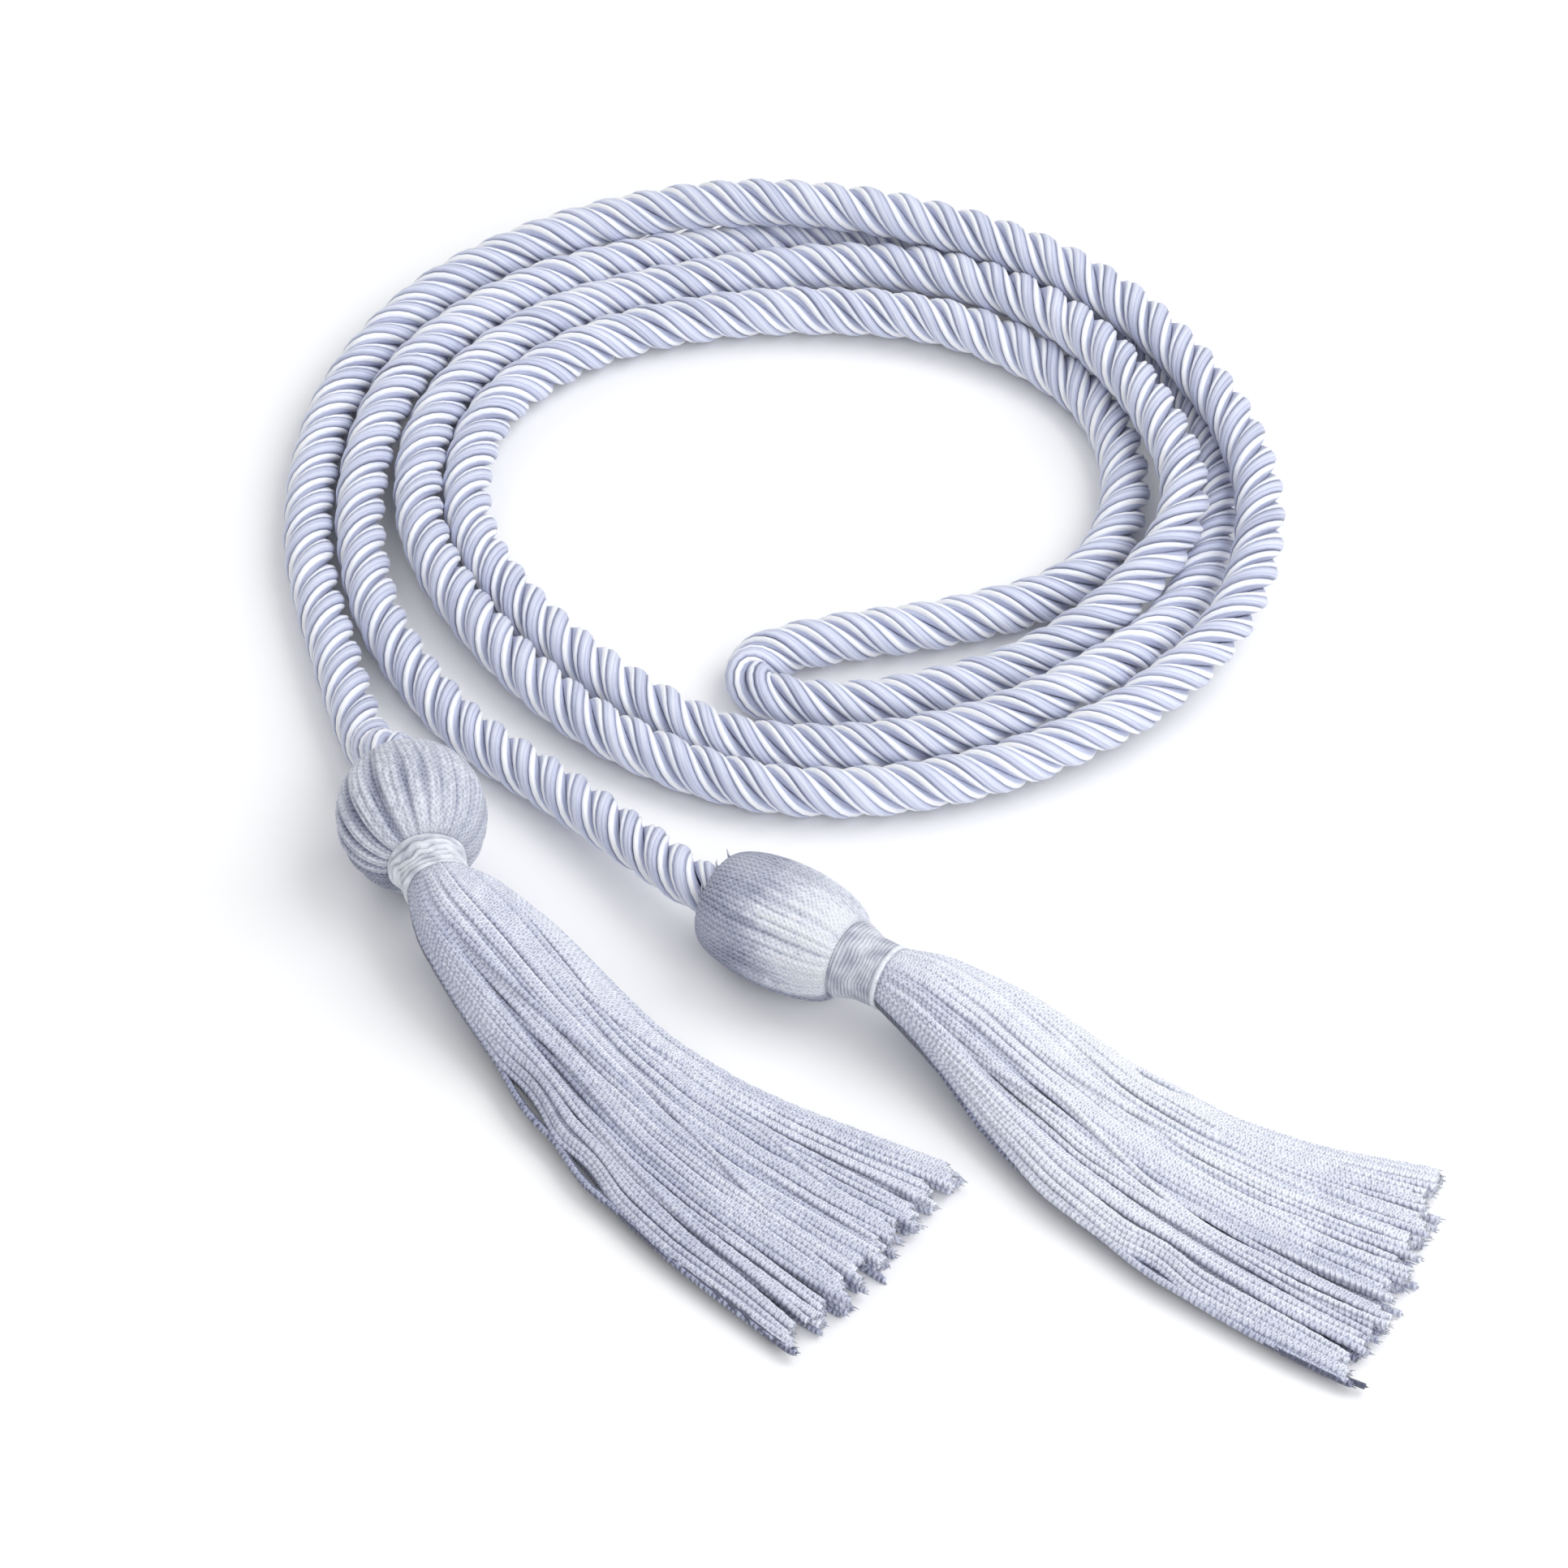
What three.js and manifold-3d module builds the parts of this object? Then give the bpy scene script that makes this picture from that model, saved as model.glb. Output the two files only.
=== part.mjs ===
// Honor cord: one long satin rope folded at its middle and coiled flat as a doubled loop, with a tassel
// on each end. A tassel is a yarn-covered head, a bound neck and a loose skirt of knitted cords.
// Millimetres, +Z up. The whole piece lies on the floor at z = 0, with the origin under its middle.
import * as THREE from "three";
import { mergeVertices } from "three/addons/utils/BufferGeometryUtils.js";
import Module from "manifold-3d";

const wasm = await Module();
wasm.setup();

// Rope
const ROPE_DIAMETER = 7.4;
const ROPE_SIDES = 10;
const ROPE_STEPS = 90;
const ROPE_LEAD = 6; // straight stretch of rope behind each head

// Heads: the rope end sits in a shallow socket, and touching pieces keep GAP between them
const GAP = 0.3;
const SOCKET_DEPTH = 2.5;
const SOCKET_CLEARANCE = 0.4;
const ROUND_SIDES = 28;
const HEAD_RINGS = 12;

// Skirts: locks of cords side by side, fused to a core
const LOCKS = 9;
const LOCK_OVERLAP = 1.24; // width of a lock against its share of the skirt
const LOCK_SQUARENESS = 3.4; // exponent of a lock's rounded section
const LOCK_SIDES = 12;
const CORE_WIDTH = 0.8; // the core against the skirt around it
const CORE_HEIGHT = 0.74;
const CORE_LENGTH = 0.93;
const SAG = 0.36; // how high a lying skirt's middle is against its height

// Brings the middle of the whole piece over the origin
const MIDDLE_X = -0.3;
const MIDDLE_Y = -1.2;

const LEFT = {
  x: -64.7, // where the rope enters the head
  y: -13.7,
  heading: -76, // degrees from +X that the head points
  headDiameter: 22.2,
  headLength: 18.8,
  rearDiameter: 11.6,
  swell: 0.52, // exponent: the smaller, the fuller the head
  neckRear: 11,
  neckWaist: 9.8,
  neckFront: 10.2,
  neckLength: 5.4,
  skirtLength: 90,
  skirtWidth: 40,
  skirtHeight: 13,
  // Shares of the skirt's length, width and height, its lift towards the neck, and its turn in degrees
  sections: [
    { along: 0.07, width: 0.39, height: 1, lift: 0.8, turn: 30 },
    { along: 0.18, width: 0.48, height: 1, lift: 0.35, turn: 31 },
    { along: 0.32, width: 0.54, height: 0.88, lift: 0, turn: 26 },
    { along: 0.46, width: 0.61, height: 0.74, lift: 0, turn: 25 },
    { along: 0.6, width: 0.71, height: 0.63, lift: 0, turn: 31 },
    { along: 0.75, width: 0.83, height: 0.53, lift: 0, turn: 38 },
    { along: 0.88, width: 0.91, height: 0.45, lift: 0, turn: 40 },
    { along: 1, width: 1, height: 0.38, lift: 0, turn: 39 },
  ],
  // How far each lock reaches, from the head's right-hand side to its left, as a share of the length
  reach: [0.97, 0.99, 1.01, 0.99, 1.02, 1, 1.03, 1.01, 1.03],
};

const RIGHT = {
  x: -17.3,
  y: -37.6,
  heading: -34,
  headDiameter: 18.6,
  headLength: 22.2,
  rearDiameter: 12,
  swell: 0.42,
  neckRear: 11.6,
  neckWaist: 10,
  neckFront: 9.4,
  neckLength: 7,
  skirtLength: 87,
  skirtWidth: 41,
  skirtHeight: 12.4,
  sections: [
    { along: 0.07, width: 0.33, height: 1, lift: 0.8, turn: 4 },
    { along: 0.18, width: 0.44, height: 1, lift: 0.35, turn: -6 },
    { along: 0.32, width: 0.56, height: 0.9, lift: 0, turn: -13 },
    { along: 0.46, width: 0.66, height: 0.76, lift: 0, turn: -9 },
    { along: 0.6, width: 0.73, height: 0.64, lift: 0, turn: -2 },
    { along: 0.75, width: 0.82, height: 0.54, lift: 0, turn: 4 },
    { along: 0.88, width: 0.91, height: 0.46, lift: 0, turn: 7 },
    { along: 1, width: 1, height: 0.38, lift: 0, turn: 10 },
  ],
  reach: [0.99, 1, 1.02, 1, 1.03, 1.01, 1.03, 1, 1.01],
};

// The rope's coil from the left head to the right one: x, y and how far it rides above the floor.
// The outer turn and the one leading to the fold ride over the turn that is squeezed in between them.
const COIL = [
  // outer turn, up the left side, over the far side and back to the near side
  [-69.5, -2.5, 1.4], [-75.5, 17.5, 0.3], [-81.5, 47, 0.1], [-78, 79.5, 0.1], [-62.5, 105.5, 0.7],
  [-38, 118.5, 3.2], [-12.5, 119.5, 7], [13.5, 113.5, 8.2], [38, 100.5, 8], [55.5, 79, 7.8],
  [65, 52.5, 6.3], [61, 26, 4.4], [45, 5.5, 3], [19.5, -8, 1.2], [-8, -10, 0.2],
  // third turn, up to the fold
  [-32.5, 0.5, 0.8], [-52, 21, 1.8], [-64, 47.5, 1.8], [-62, 75, 1.3], [-46, 96.5, 0.8],
  [-19, 107.5, 0.9], [9.5, 108.5, 2.6], [32.5, 95, 5.8], [48.5, 70.5, 7.6], [53.5, 45.5, 7],
  [43, 27.5, 4], [28, 16.5, 0.9], [14, 11, 0.1],
  // the fold
  [3, 8.5, 0], [-5.5, 9, 0], [-12, 11.5, 0], [-14, 16, 0], [-10.5, 19.5, 0.1], [0.5, 23, 0.4],
  // innermost turn
  [19, 27, 0.5], [37.5, 36.5, 0.3], [45, 55.5, 0], [40.5, 78.5, 0.3], [20.5, 95.5, 0.9],
  [-9, 100, 0.5], [-38, 92, 0.4], [-54.5, 73, 1], [-56, 46.5, 0.9], [-38.5, 18.5, 0.2],
  // second turn, down to the right head
  [-13, 0, 0.2], [16.5, 0, 2.3], [40.5, 13, 3.6], [53.5, 31, 0.5], [59.5, 59, 0.1], [53, 87, 0.1],
  [35, 108, 0.1], [8.5, 117.5, 0.1], [-21, 115.5, 0.1], [-48, 105, 1], [-67, 84.5, 1.5],
  [-73.5, 57, 1.6], [-70, 28.5, 1], [-57, 5, 0.1], [-41, -11.5, 1.2], [-28.5, -25.5, 3.4],
];

const SATIN = { color: 0xdcdff0, roughness: 0.42, metalness: 0 };
const YARN = { color: 0xd3d7e2, roughness: 0.6, metalness: 0 };
const SKIRT = { color: 0xd6dbe8, roughness: 0.66, metalness: 0 };

const mix = (a, b, share) => a + (b - a) * share;
const radians = THREE.MathUtils.degToRad;

function part(name, geometry, finish) {
  const mesh = new THREE.Mesh(geometry, new THREE.MeshStandardMaterial(finish));
  mesh.name = name;
  return mesh;
}

// A curve whose steps follow its chosen points, so that they crowd together round the tight fold
class RopeCurve extends THREE.CatmullRomCurve3 {
  getSpacedPoints(divisions) {
    return this.getPoints(divisions);
  }
  getTangentAt(u, target) {
    return this.getTangent(u, target);
  }
}

// A point on a head's axis, measured forward from where the rope enters it
function onAxis(tassel, forward) {
  const angle = radians(tassel.heading);
  return new THREE.Vector3(
    tassel.x + forward * Math.cos(angle),
    tassel.y + forward * Math.sin(angle),
    tassel.headDiameter / 2,
  );
}

function ropeGeometry() {
  const ends = [SOCKET_DEPTH - GAP, SOCKET_DEPTH - GAP - ROPE_LEAD];
  const path = new RopeCurve([
    ...ends.map((forward) => onAxis(LEFT, forward)),
    ...COIL.map(([x, y, rise]) => new THREE.Vector3(x, y, ROPE_DIAMETER / 2 + rise)),
    ...ends.reverse().map((forward) => onAxis(RIGHT, forward)),
  ]);
  const section = new THREE.Shape();
  for (let i = 0; i < ROPE_SIDES; i++) {
    const angle = (i / ROPE_SIDES) * 2 * Math.PI;
    const x = (ROPE_DIAMETER / 2) * Math.cos(angle);
    const y = (ROPE_DIAMETER / 2) * Math.sin(angle);
    if (i === 0) section.moveTo(x, y);
    else section.lineTo(x, y);
  }
  section.closePath();
  return new THREE.ExtrudeGeometry(section, { steps: ROPE_STEPS, extrudePath: path });
}

// A body of revolution about +X, from a profile of [distance forward, radius]
function turned(profile) {
  const points = profile.map(([forward, radius]) => new THREE.Vector2(radius, forward));
  return new THREE.LatheGeometry(points, ROUND_SIDES).rotateZ(-Math.PI / 2);
}

function headGeometry(tassel) {
  const socket = ROPE_DIAMETER / 2 + SOCKET_CLEARANCE;
  const profile = [
    [SOCKET_DEPTH, 0],
    [SOCKET_DEPTH, socket],
    [0, socket],
  ];
  for (let i = 0; i <= HEAD_RINGS; i++) {
    const along = (1 - Math.cos((i / HEAD_RINGS) * Math.PI)) / 2;
    const base = mix(tassel.rearDiameter, tassel.neckRear, along) / 2;
    const full = Math.sin(along * Math.PI) ** tassel.swell;
    profile.push([along * tassel.headLength, mix(base, tassel.headDiameter / 2, full)]);
  }
  profile.push([tassel.headLength, 0]);
  return turned(profile);
}

function neckGeometry(tassel) {
  return turned([
    [0, 0],
    [0, tassel.neckRear / 2],
    [tassel.neckLength / 2, tassel.neckWaist / 2],
    [tassel.neckLength, tassel.neckFront / 2],
    [tassel.neckLength, 0],
  ]);
}

// The skirt's run from the neck: place, direction, width, height and middle height of each section
function skirtRun(tassel) {
  const axisHeight = tassel.headDiameter / 2;
  const run = [{ along: 0, x: 0, y: 0, turn: 0, width: tassel.neckFront, height: tassel.neckFront,
    middle: axisHeight }];
  for (const row of tassel.sections) {
    const last = run[run.length - 1];
    const step = (row.along - last.along) * tassel.skirtLength;
    const turn = radians(row.turn);
    const halfway = (last.turn + turn) / 2;
    const height = row.height * tassel.skirtHeight;
    run.push({
      along: row.along,
      x: last.x + step * Math.cos(halfway),
      y: last.y + step * Math.sin(halfway),
      turn,
      width: row.width * tassel.skirtWidth,
      height,
      middle: mix(SAG * height, axisHeight, row.lift),
    });
  }
  return run;
}

// A closed skin over rings of equally many points, with a flat cap on each end
function loft(rings) {
  const sides = rings[0].length;
  const index = [];
  for (let r = 0; r + 1 < rings.length; r++) {
    for (let s = 0; s < sides; s++) {
      const a = r * sides + s;
      const b = r * sides + ((s + 1) % sides);
      index.push(a, b, a + sides, b, b + sides, a + sides);
    }
  }
  for (let s = 1; s + 1 < sides; s++) {
    const last = (rings.length - 1) * sides;
    index.push(0, s + 1, s, last, last + s, last + s + 1);
  }
  const geometry = new THREE.BufferGeometry();
  const corners = rings.flat().flatMap((point) => point.toArray());
  geometry.setAttribute("position", new THREE.Float32BufferAttribute(corners, 3));
  geometry.setIndex(index);
  return geometry;
}

// One strand of the skirt: centred `across` (-1 to 1) of it, `share` of its width wide and `tall` of
// its height, ending at `reach` of its length, and nowhere below the floor
function strand(tassel, run, across, share, tall, reach) {
  const floor = -tassel.headDiameter / 2;
  const rings = run.map((at) => {
    const stretch = at === run[run.length - 1] ? (reach - 1) * tassel.skirtLength : 0;
    const halfWidth = (share * at.width) / 2;
    const offset = across * (at.width / 2 - halfWidth);
    const halfHeight = (tall * at.height * Math.sqrt(1 - across ** 2)) / 2;
    const ring = [];
    for (let i = 0; i < LOCK_SIDES; i++) {
      const angle = ((i + 0.5) / LOCK_SIDES) * 2 * Math.PI;
      const rounded = (v) => Math.sign(v) * Math.abs(v) ** (2 / LOCK_SQUARENESS);
      const side = offset + halfWidth * rounded(Math.cos(angle));
      const up = at.middle + halfHeight * rounded(Math.sin(angle));
      ring.push(
        new THREE.Vector3(
          at.x + stretch * Math.cos(at.turn) - side * Math.sin(at.turn),
          at.y + stretch * Math.sin(at.turn) + side * Math.cos(at.turn),
          floor + Math.max(up, 0),
        ),
      );
    }
    return ring;
  });
  return loft(rings);
}

function toSolid(geometry) {
  const merged = mergeVertices(geometry, 1e-4);
  return new wasm.Manifold(
    new wasm.Mesh({
      numProp: 3,
      vertProperties: new Float32Array(merged.getAttribute("position").array),
      triVerts: new Uint32Array(merged.index.array),
    }),
  );
}

function toGeometry(solid) {
  const { vertProperties, triVerts } = solid.getMesh();
  const geometry = new THREE.BufferGeometry();
  geometry.setAttribute("position", new THREE.BufferAttribute(vertProperties, 3));
  geometry.setIndex(new THREE.BufferAttribute(triVerts, 1));
  geometry.computeVertexNormals();
  return geometry;
}

function skirtGeometry(tassel) {
  const run = skirtRun(tassel);
  let skirt = toSolid(strand(tassel, run, 0, CORE_WIDTH, CORE_HEIGHT, CORE_LENGTH));
  for (let k = 0; k < LOCKS; k++) {
    const across = (2 * k + 1) / LOCKS - 1;
    const lock = strand(tassel, run, across, LOCK_OVERLAP / LOCKS, 1, tassel.reach[k]);
    skirt = skirt.add(toSolid(lock));
  }
  return toGeometry(skirt);
}

// A tassel's own frame starts where the rope enters its head, with +X along the head
function tasselGroup(side, tassel) {
  const group = new THREE.Group();
  group.position.copy(onAxis(tassel, 0));
  group.rotation.z = radians(tassel.heading);
  const head = part(side + "_tassel_head", headGeometry(tassel), YARN);
  const neck = part(side + "_tassel_neck", neckGeometry(tassel), YARN);
  const skirt = part(side + "_tassel_skirt", skirtGeometry(tassel), SKIRT);
  neck.position.x = tassel.headLength + GAP;
  skirt.position.x = neck.position.x + tassel.neckLength + GAP;
  return group.add(head, neck, skirt);
}

const cord = new THREE.Group();
cord.position.set(MIDDLE_X, MIDDLE_Y, 0);
cord.add(part("rope", ropeGeometry(), SATIN));
cord.add(tasselGroup("left", LEFT), tasselGroup("right", RIGHT));

export default cord;
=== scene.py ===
"""Honor cord: a long twisted satin rope folded and coiled flat, with a knitted-cord tassel on each end."""
import bpy
import mathutils
import numpy as np
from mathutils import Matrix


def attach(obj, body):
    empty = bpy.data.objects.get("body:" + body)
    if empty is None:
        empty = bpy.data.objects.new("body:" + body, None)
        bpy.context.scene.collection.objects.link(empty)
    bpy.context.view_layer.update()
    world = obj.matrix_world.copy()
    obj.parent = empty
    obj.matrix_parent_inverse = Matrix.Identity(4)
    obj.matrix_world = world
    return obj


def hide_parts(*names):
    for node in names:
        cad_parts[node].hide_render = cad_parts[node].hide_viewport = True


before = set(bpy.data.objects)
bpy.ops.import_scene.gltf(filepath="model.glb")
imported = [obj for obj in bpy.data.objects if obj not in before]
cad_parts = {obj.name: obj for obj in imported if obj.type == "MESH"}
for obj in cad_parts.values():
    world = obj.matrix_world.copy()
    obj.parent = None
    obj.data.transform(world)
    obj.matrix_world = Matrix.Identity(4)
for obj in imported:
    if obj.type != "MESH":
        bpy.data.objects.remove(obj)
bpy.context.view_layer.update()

# Lengths are in millimetres until a mesh is made, and angles round a tassel are counted from below
MM = 0.001
TURN = 2 * np.pi
rng = np.random.default_rng(7)

# Brings the middle of the whole piece over the origin, as in the part's source
MIDDLE = np.array([-0.3, -1.2, 0.0])

# Camera, at the photograph's angle
ELEVATION, DISTANCE = np.radians(44), 1000.0
TARGET = np.array([-8.0, -4.5, 0.0]) + MIDDLE
SENSOR, LENS = 36, 153.7
camera_data = bpy.data.cameras.new("camera")
camera_data.sensor_width = SENSOR
camera_data.sensor_fit = "HORIZONTAL"
camera_data.lens = LENS
camera_data.clip_start, camera_data.clip_end = 0.01, 20
camera = bpy.data.objects.new("camera", camera_data)
bpy.context.scene.collection.objects.link(camera)
camera.location = (TARGET + DISTANCE * np.array([0, -np.cos(ELEVATION), np.sin(ELEVATION)])) * MM
camera.rotation_euler = (np.pi / 2 - ELEVATION, 0, 0)
bpy.context.scene.camera = camera

# The part's sizes, as in its source
ROPE_CAD = 7.4  # the solid tube's diameter
ROPE_LEAD = 6.0  # straight stretch of rope behind each head
GAP = 0.3  # between touching solids
SOCKET_DEPTH = 2.5
SAG = 0.36  # how high a lying skirt's middle is against its height

# x and y are where the rope enters the head, heading is in degrees from +X, and the smaller the swell,
# the fuller the head. The neck's diameters are at its rear, waist and front. A skirt's sections are
# shares of its length, width and height, its lift towards the neck, and its turn in degrees. The reach
# of each lock, from the head's right-hand side to its left, is a share of the length.
LEFT = dict(
    x=-64.7, y=-13.7, heading=-76, head_d=22.2, head_l=18.8, rear_d=11.6, swell=0.52,
    neck=(11.0, 9.8, 10.2), neck_l=5.4, length=90.0, width=40.0, height=13.0,
    sections=[(0.07, 0.39, 1, 0.8, 30), (0.18, 0.48, 1, 0.35, 31), (0.32, 0.54, 0.88, 0, 26),
              (0.46, 0.61, 0.74, 0, 25), (0.6, 0.71, 0.63, 0, 31), (0.75, 0.83, 0.53, 0, 38),
              (0.88, 0.91, 0.45, 0, 40), (1.0, 1, 0.38, 0, 39)],
    reach=(0.97, 0.99, 1.01, 0.99, 1.02, 1, 1.03, 1.01, 1.03))
RIGHT = dict(
    x=-17.3, y=-37.6, heading=-34, head_d=18.6, head_l=22.2, rear_d=12.0, swell=0.42,
    neck=(11.6, 10.0, 9.4), neck_l=7.0, length=87.0, width=41.0, height=12.4,
    sections=[(0.07, 0.33, 1, 0.8, 4), (0.18, 0.44, 1, 0.35, -6), (0.32, 0.56, 0.9, 0, -13),
              (0.46, 0.66, 0.76, 0, -9), (0.6, 0.73, 0.64, 0, -2), (0.75, 0.82, 0.54, 0, 4),
              (0.88, 0.91, 0.46, 0, 7), (1.0, 1, 0.38, 0, 10)],
    reach=(0.99, 1, 1.02, 1, 1.03, 1.01, 1.03, 1, 1.01))

# The rope's coil from the left head to the right one: x, y and how far it rides above the floor
COIL = [
    # outer turn
    (-69.5, -2.5, 1.4), (-75.5, 17.5, 0.3), (-81.5, 47, 0.1), (-78, 79.5, 0.1), (-62.5, 105.5, 0.7),
    (-38, 118.5, 3.2), (-12.5, 119.5, 7), (13.5, 113.5, 8.2), (38, 100.5, 8), (55.5, 79, 7.8),
    (65, 52.5, 6.3), (61, 26, 4.4), (45, 5.5, 3), (19.5, -8, 1.2), (-8, -10, 0.2),
    # third turn, up to the fold
    (-32.5, 0.5, 0.8), (-52, 21, 1.8), (-64, 47.5, 1.8), (-62, 75, 1.3), (-46, 96.5, 0.8),
    (-19, 107.5, 0.9), (9.5, 108.5, 2.6), (32.5, 95, 5.8), (48.5, 70.5, 7.6), (53.5, 45.5, 7),
    (43, 27.5, 4), (28, 16.5, 0.9), (14, 11, 0.1),
    # the fold
    (3, 8.5, 0), (-5.5, 9, 0), (-12, 11.5, 0), (-14, 16, 0), (-10.5, 19.5, 0.1), (0.5, 23, 0.4),
    # innermost turn
    (19, 27, 0.5), (37.5, 36.5, 0.3), (45, 55.5, 0), (40.5, 78.5, 0.3), (20.5, 95.5, 0.9),
    (-9, 100, 0.5), (-38, 92, 0.4), (-54.5, 73, 1), (-56, 46.5, 0.9), (-38.5, 18.5, 0.2),
    # second turn, down to the right head
    (-13, 0, 0.2), (16.5, 0, 2.3), (40.5, 13, 3.6), (53.5, 31, 0.5), (59.5, 59, 0.1), (53, 87, 0.1),
    (35, 108, 0.1), (8.5, 117.5, 0.1), (-21, 115.5, 0.1), (-48, 105, 1), (-67, 84.5, 1.5),
    (-73.5, 57, 1.6), (-70, 28.5, 1), (-57, 5, 0.1), (-41, -11.5, 1.2), (-28.5, -25.5, 3.4),
]


# Helpers
def centripetal(C, t):
    """The smooth curve through the points C, as the part's source draws it, at shares t of its points."""
    n = len(C)
    x = (n - 1) * t
    i = np.clip(np.floor(x).astype(int), 0, n - 2)
    w = (x - i)[:, None]
    P = np.vstack([2 * C[0] - C[1], C, 2 * C[-1] - C[-2]])
    p0, p1, p2, p3 = P[i], P[i + 1], P[i + 2], P[i + 3]

    def knot(a, b):
        return np.maximum(((a - b) ** 2).sum(-1) ** 0.25, 1e-4)[:, None]

    t0, t1, t2 = knot(p0, p1), knot(p1, p2), knot(p2, p3)
    m1 = ((p1 - p0) / t0 - (p2 - p0) / (t0 + t1) + (p2 - p1) / t1) * t1
    m2 = ((p2 - p1) / t1 - (p3 - p1) / (t1 + t2) + (p3 - p2) / t2) * t1
    c2 = -3 * p1 + 3 * p2 - 2 * m1 - m2
    c3 = 2 * p1 - 2 * p2 + m1 + m2
    return p1 + m1 * w + c2 * w ** 2 + c3 * w ** 3


def arc(P):
    """The distance along a run of points, at each of them."""
    return np.r_[0, np.cumsum(np.linalg.norm(np.diff(P, axis=0), axis=1))]


def even(P, step):
    """P again, with points an equal step apart, and the distance along it."""
    s = arc(P)
    at = np.linspace(0, s[-1], int(round(s[-1] / step)) + 1)
    return np.stack([np.interp(at, s, P[:, k]) for k in range(3)], -1), at


def smoothed(P, times):
    """P with each point drawn towards its neighbours, except the first and the last."""
    for _ in range(times):
        P[1:-1] = (P[:-2] + 2 * P[1:-1] + P[2:]) / 4
    return P


def frames(P):
    """Tangent, side and up of a run of points that lies on the floor."""
    T = np.gradient(P, axis=0)
    T /= np.linalg.norm(T, axis=1)[:, None]
    S = np.cross(np.array([0, 0, 1.0]), T)
    S /= np.linalg.norm(S, axis=1)[:, None]
    return T, S, np.cross(T, S)


def circle(sides):
    """The angles of points that stand evenly round a circle."""
    return np.arange(sides) / sides * TURN


def tube(P, radius, sides):
    """Rings round a run of points. The radius is given for each ring, or for each point of each ring."""
    _, S, U = frames(P)
    a = circle(sides)[None, :, None]
    outward = np.cos(a) * S[:, None] + np.sin(a) * U[:, None]
    return P[:, None] + np.reshape(radius, (len(P), -1, 1)) * outward


def share(x, first, last):
    """How far x has gone from first to last, from 0 to 1."""
    return np.clip((x - first) / (last - first), 0, 1)


def smoothstep(x):
    return x * x * (3 - 2 * x)


def hump(x, first, last, power=1.0):
    """Rises from 0 at first to 1 halfway, and falls to 0 at last."""
    return np.sin(share(x, first, last) * np.pi) ** power


def bell(x, wide):
    return np.exp(-(x / wide) ** 2)


def smooth_noise(at, scale, amount, channels=1):
    """Slow random wander along a run, of the given feature size."""
    knots = int(at[-1] / scale) + 5
    v = rng.standard_normal((knots, channels)) * amount
    x = at / scale
    i = np.floor(x).astype(int)
    f = smoothstep((x - i)[:, None])
    out = v[i] * (1 - f) + v[i + 1] * f
    return out[:, 0] if channels == 1 else out


class Builder:
    """Gathers closed skins into one mesh. Its map holds the distance along a skin and its share round."""

    def __init__(self):
        self.points, self.faces, self.count = [], [], 0

    def skin(self, rings, along, around=None, tint=0.0):
        """rings is (R, S, 3), and along is the distance of each ring. The tint is one value, one for each
        ring or one for each point. With one for each point, the caps have none."""
        R, S, _ = rings.shape
        # the map closes at 1, which is all the way round or on a side that is out of sight
        around = np.r_[np.arange(S) / S if around is None else around, 1.0]
        r, s = np.meshgrid(np.arange(R - 1), np.arange(S), indexing="ij")
        a, b = r * S + s, r * S + (s + 1) % S
        quads = np.stack([a, b, b + S, a + S], -1).reshape(-1, 4)
        u0, u1, v0, v1 = along[r], along[r + 1], around[s], around[s + 1]
        uv = np.stack([u0, v0, u0, v1, u1, v1, u1, v0], -1).reshape(-1, 2)
        if np.ndim(tint) == 2:
            corner_tint, cap_tint = tint.ravel()[quads.ravel()], (0.0, 0.0)
        else:
            ring_tint = np.broadcast_to(tint, R)
            corner_tint, cap_tint = ring_tint[np.repeat(r.ravel(), 4)], ring_tint[[0, -1]]
        self.points.append(rings.reshape(-1, 3))
        self.faces.append((quads + self.count, uv, corner_tint))
        k = np.arange(S)
        for end, ring in enumerate((0, R - 1)):
            self.points.append(rings[ring].mean(0)[None])
            centre = np.full(S, self.count + R * S + end)
            p, q = self.count + ring * S + k, self.count + ring * S + (k + 1) % S
            fan = np.stack([p, q, centre] if end else [q, p, centre], -1)
            fan_uv = np.full((S * 3, 2), [along[ring], 0.5])
            self.faces.append((fan, fan_uv, np.full(S * 3, cap_tint[end])))
        self.count += R * S + 2

    def object(self, name, material, slot):
        """The mesh as an object of the scene, fixed to the part's root."""
        sizes = np.concatenate([np.full(len(f), f.shape[1]) for f, _, _ in self.faces])
        corners = np.concatenate([f.ravel() for f, _, _ in self.faces])
        points = np.vstack(self.points) * MM
        mesh = bpy.data.meshes.new(name)
        mesh.vertices.add(len(points))
        mesh.vertices.foreach_set("co", points.astype(np.float32).ravel())
        mesh.loops.add(len(corners))
        mesh.loops.foreach_set("vertex_index", corners.astype(np.int32))
        mesh.polygons.add(len(sizes))
        mesh.polygons.foreach_set("loop_start", np.r_[0, np.cumsum(sizes)[:-1]].astype(np.int32))
        mesh.polygons.foreach_set("loop_total", sizes.astype(np.int32))
        uv = mesh.uv_layers.new(name="yarn")
        uv.data.foreach_set("uv", np.vstack([u for _, u, _ in self.faces]).astype(np.float32).ravel())
        tint = mesh.attributes.new("tint", "FLOAT", "CORNER")
        tint.data.foreach_set("value", np.concatenate([t for _, _, t in self.faces]).astype(np.float32))
        mesh.update(calc_edges=True)
        mesh.validate()
        mesh.shade_smooth()
        mesh.materials.append(material)
        o = bpy.data.objects.new(name, mesh)
        bpy.context.scene.collection.objects.link(o)
        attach(o, "root")
        return o


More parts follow.
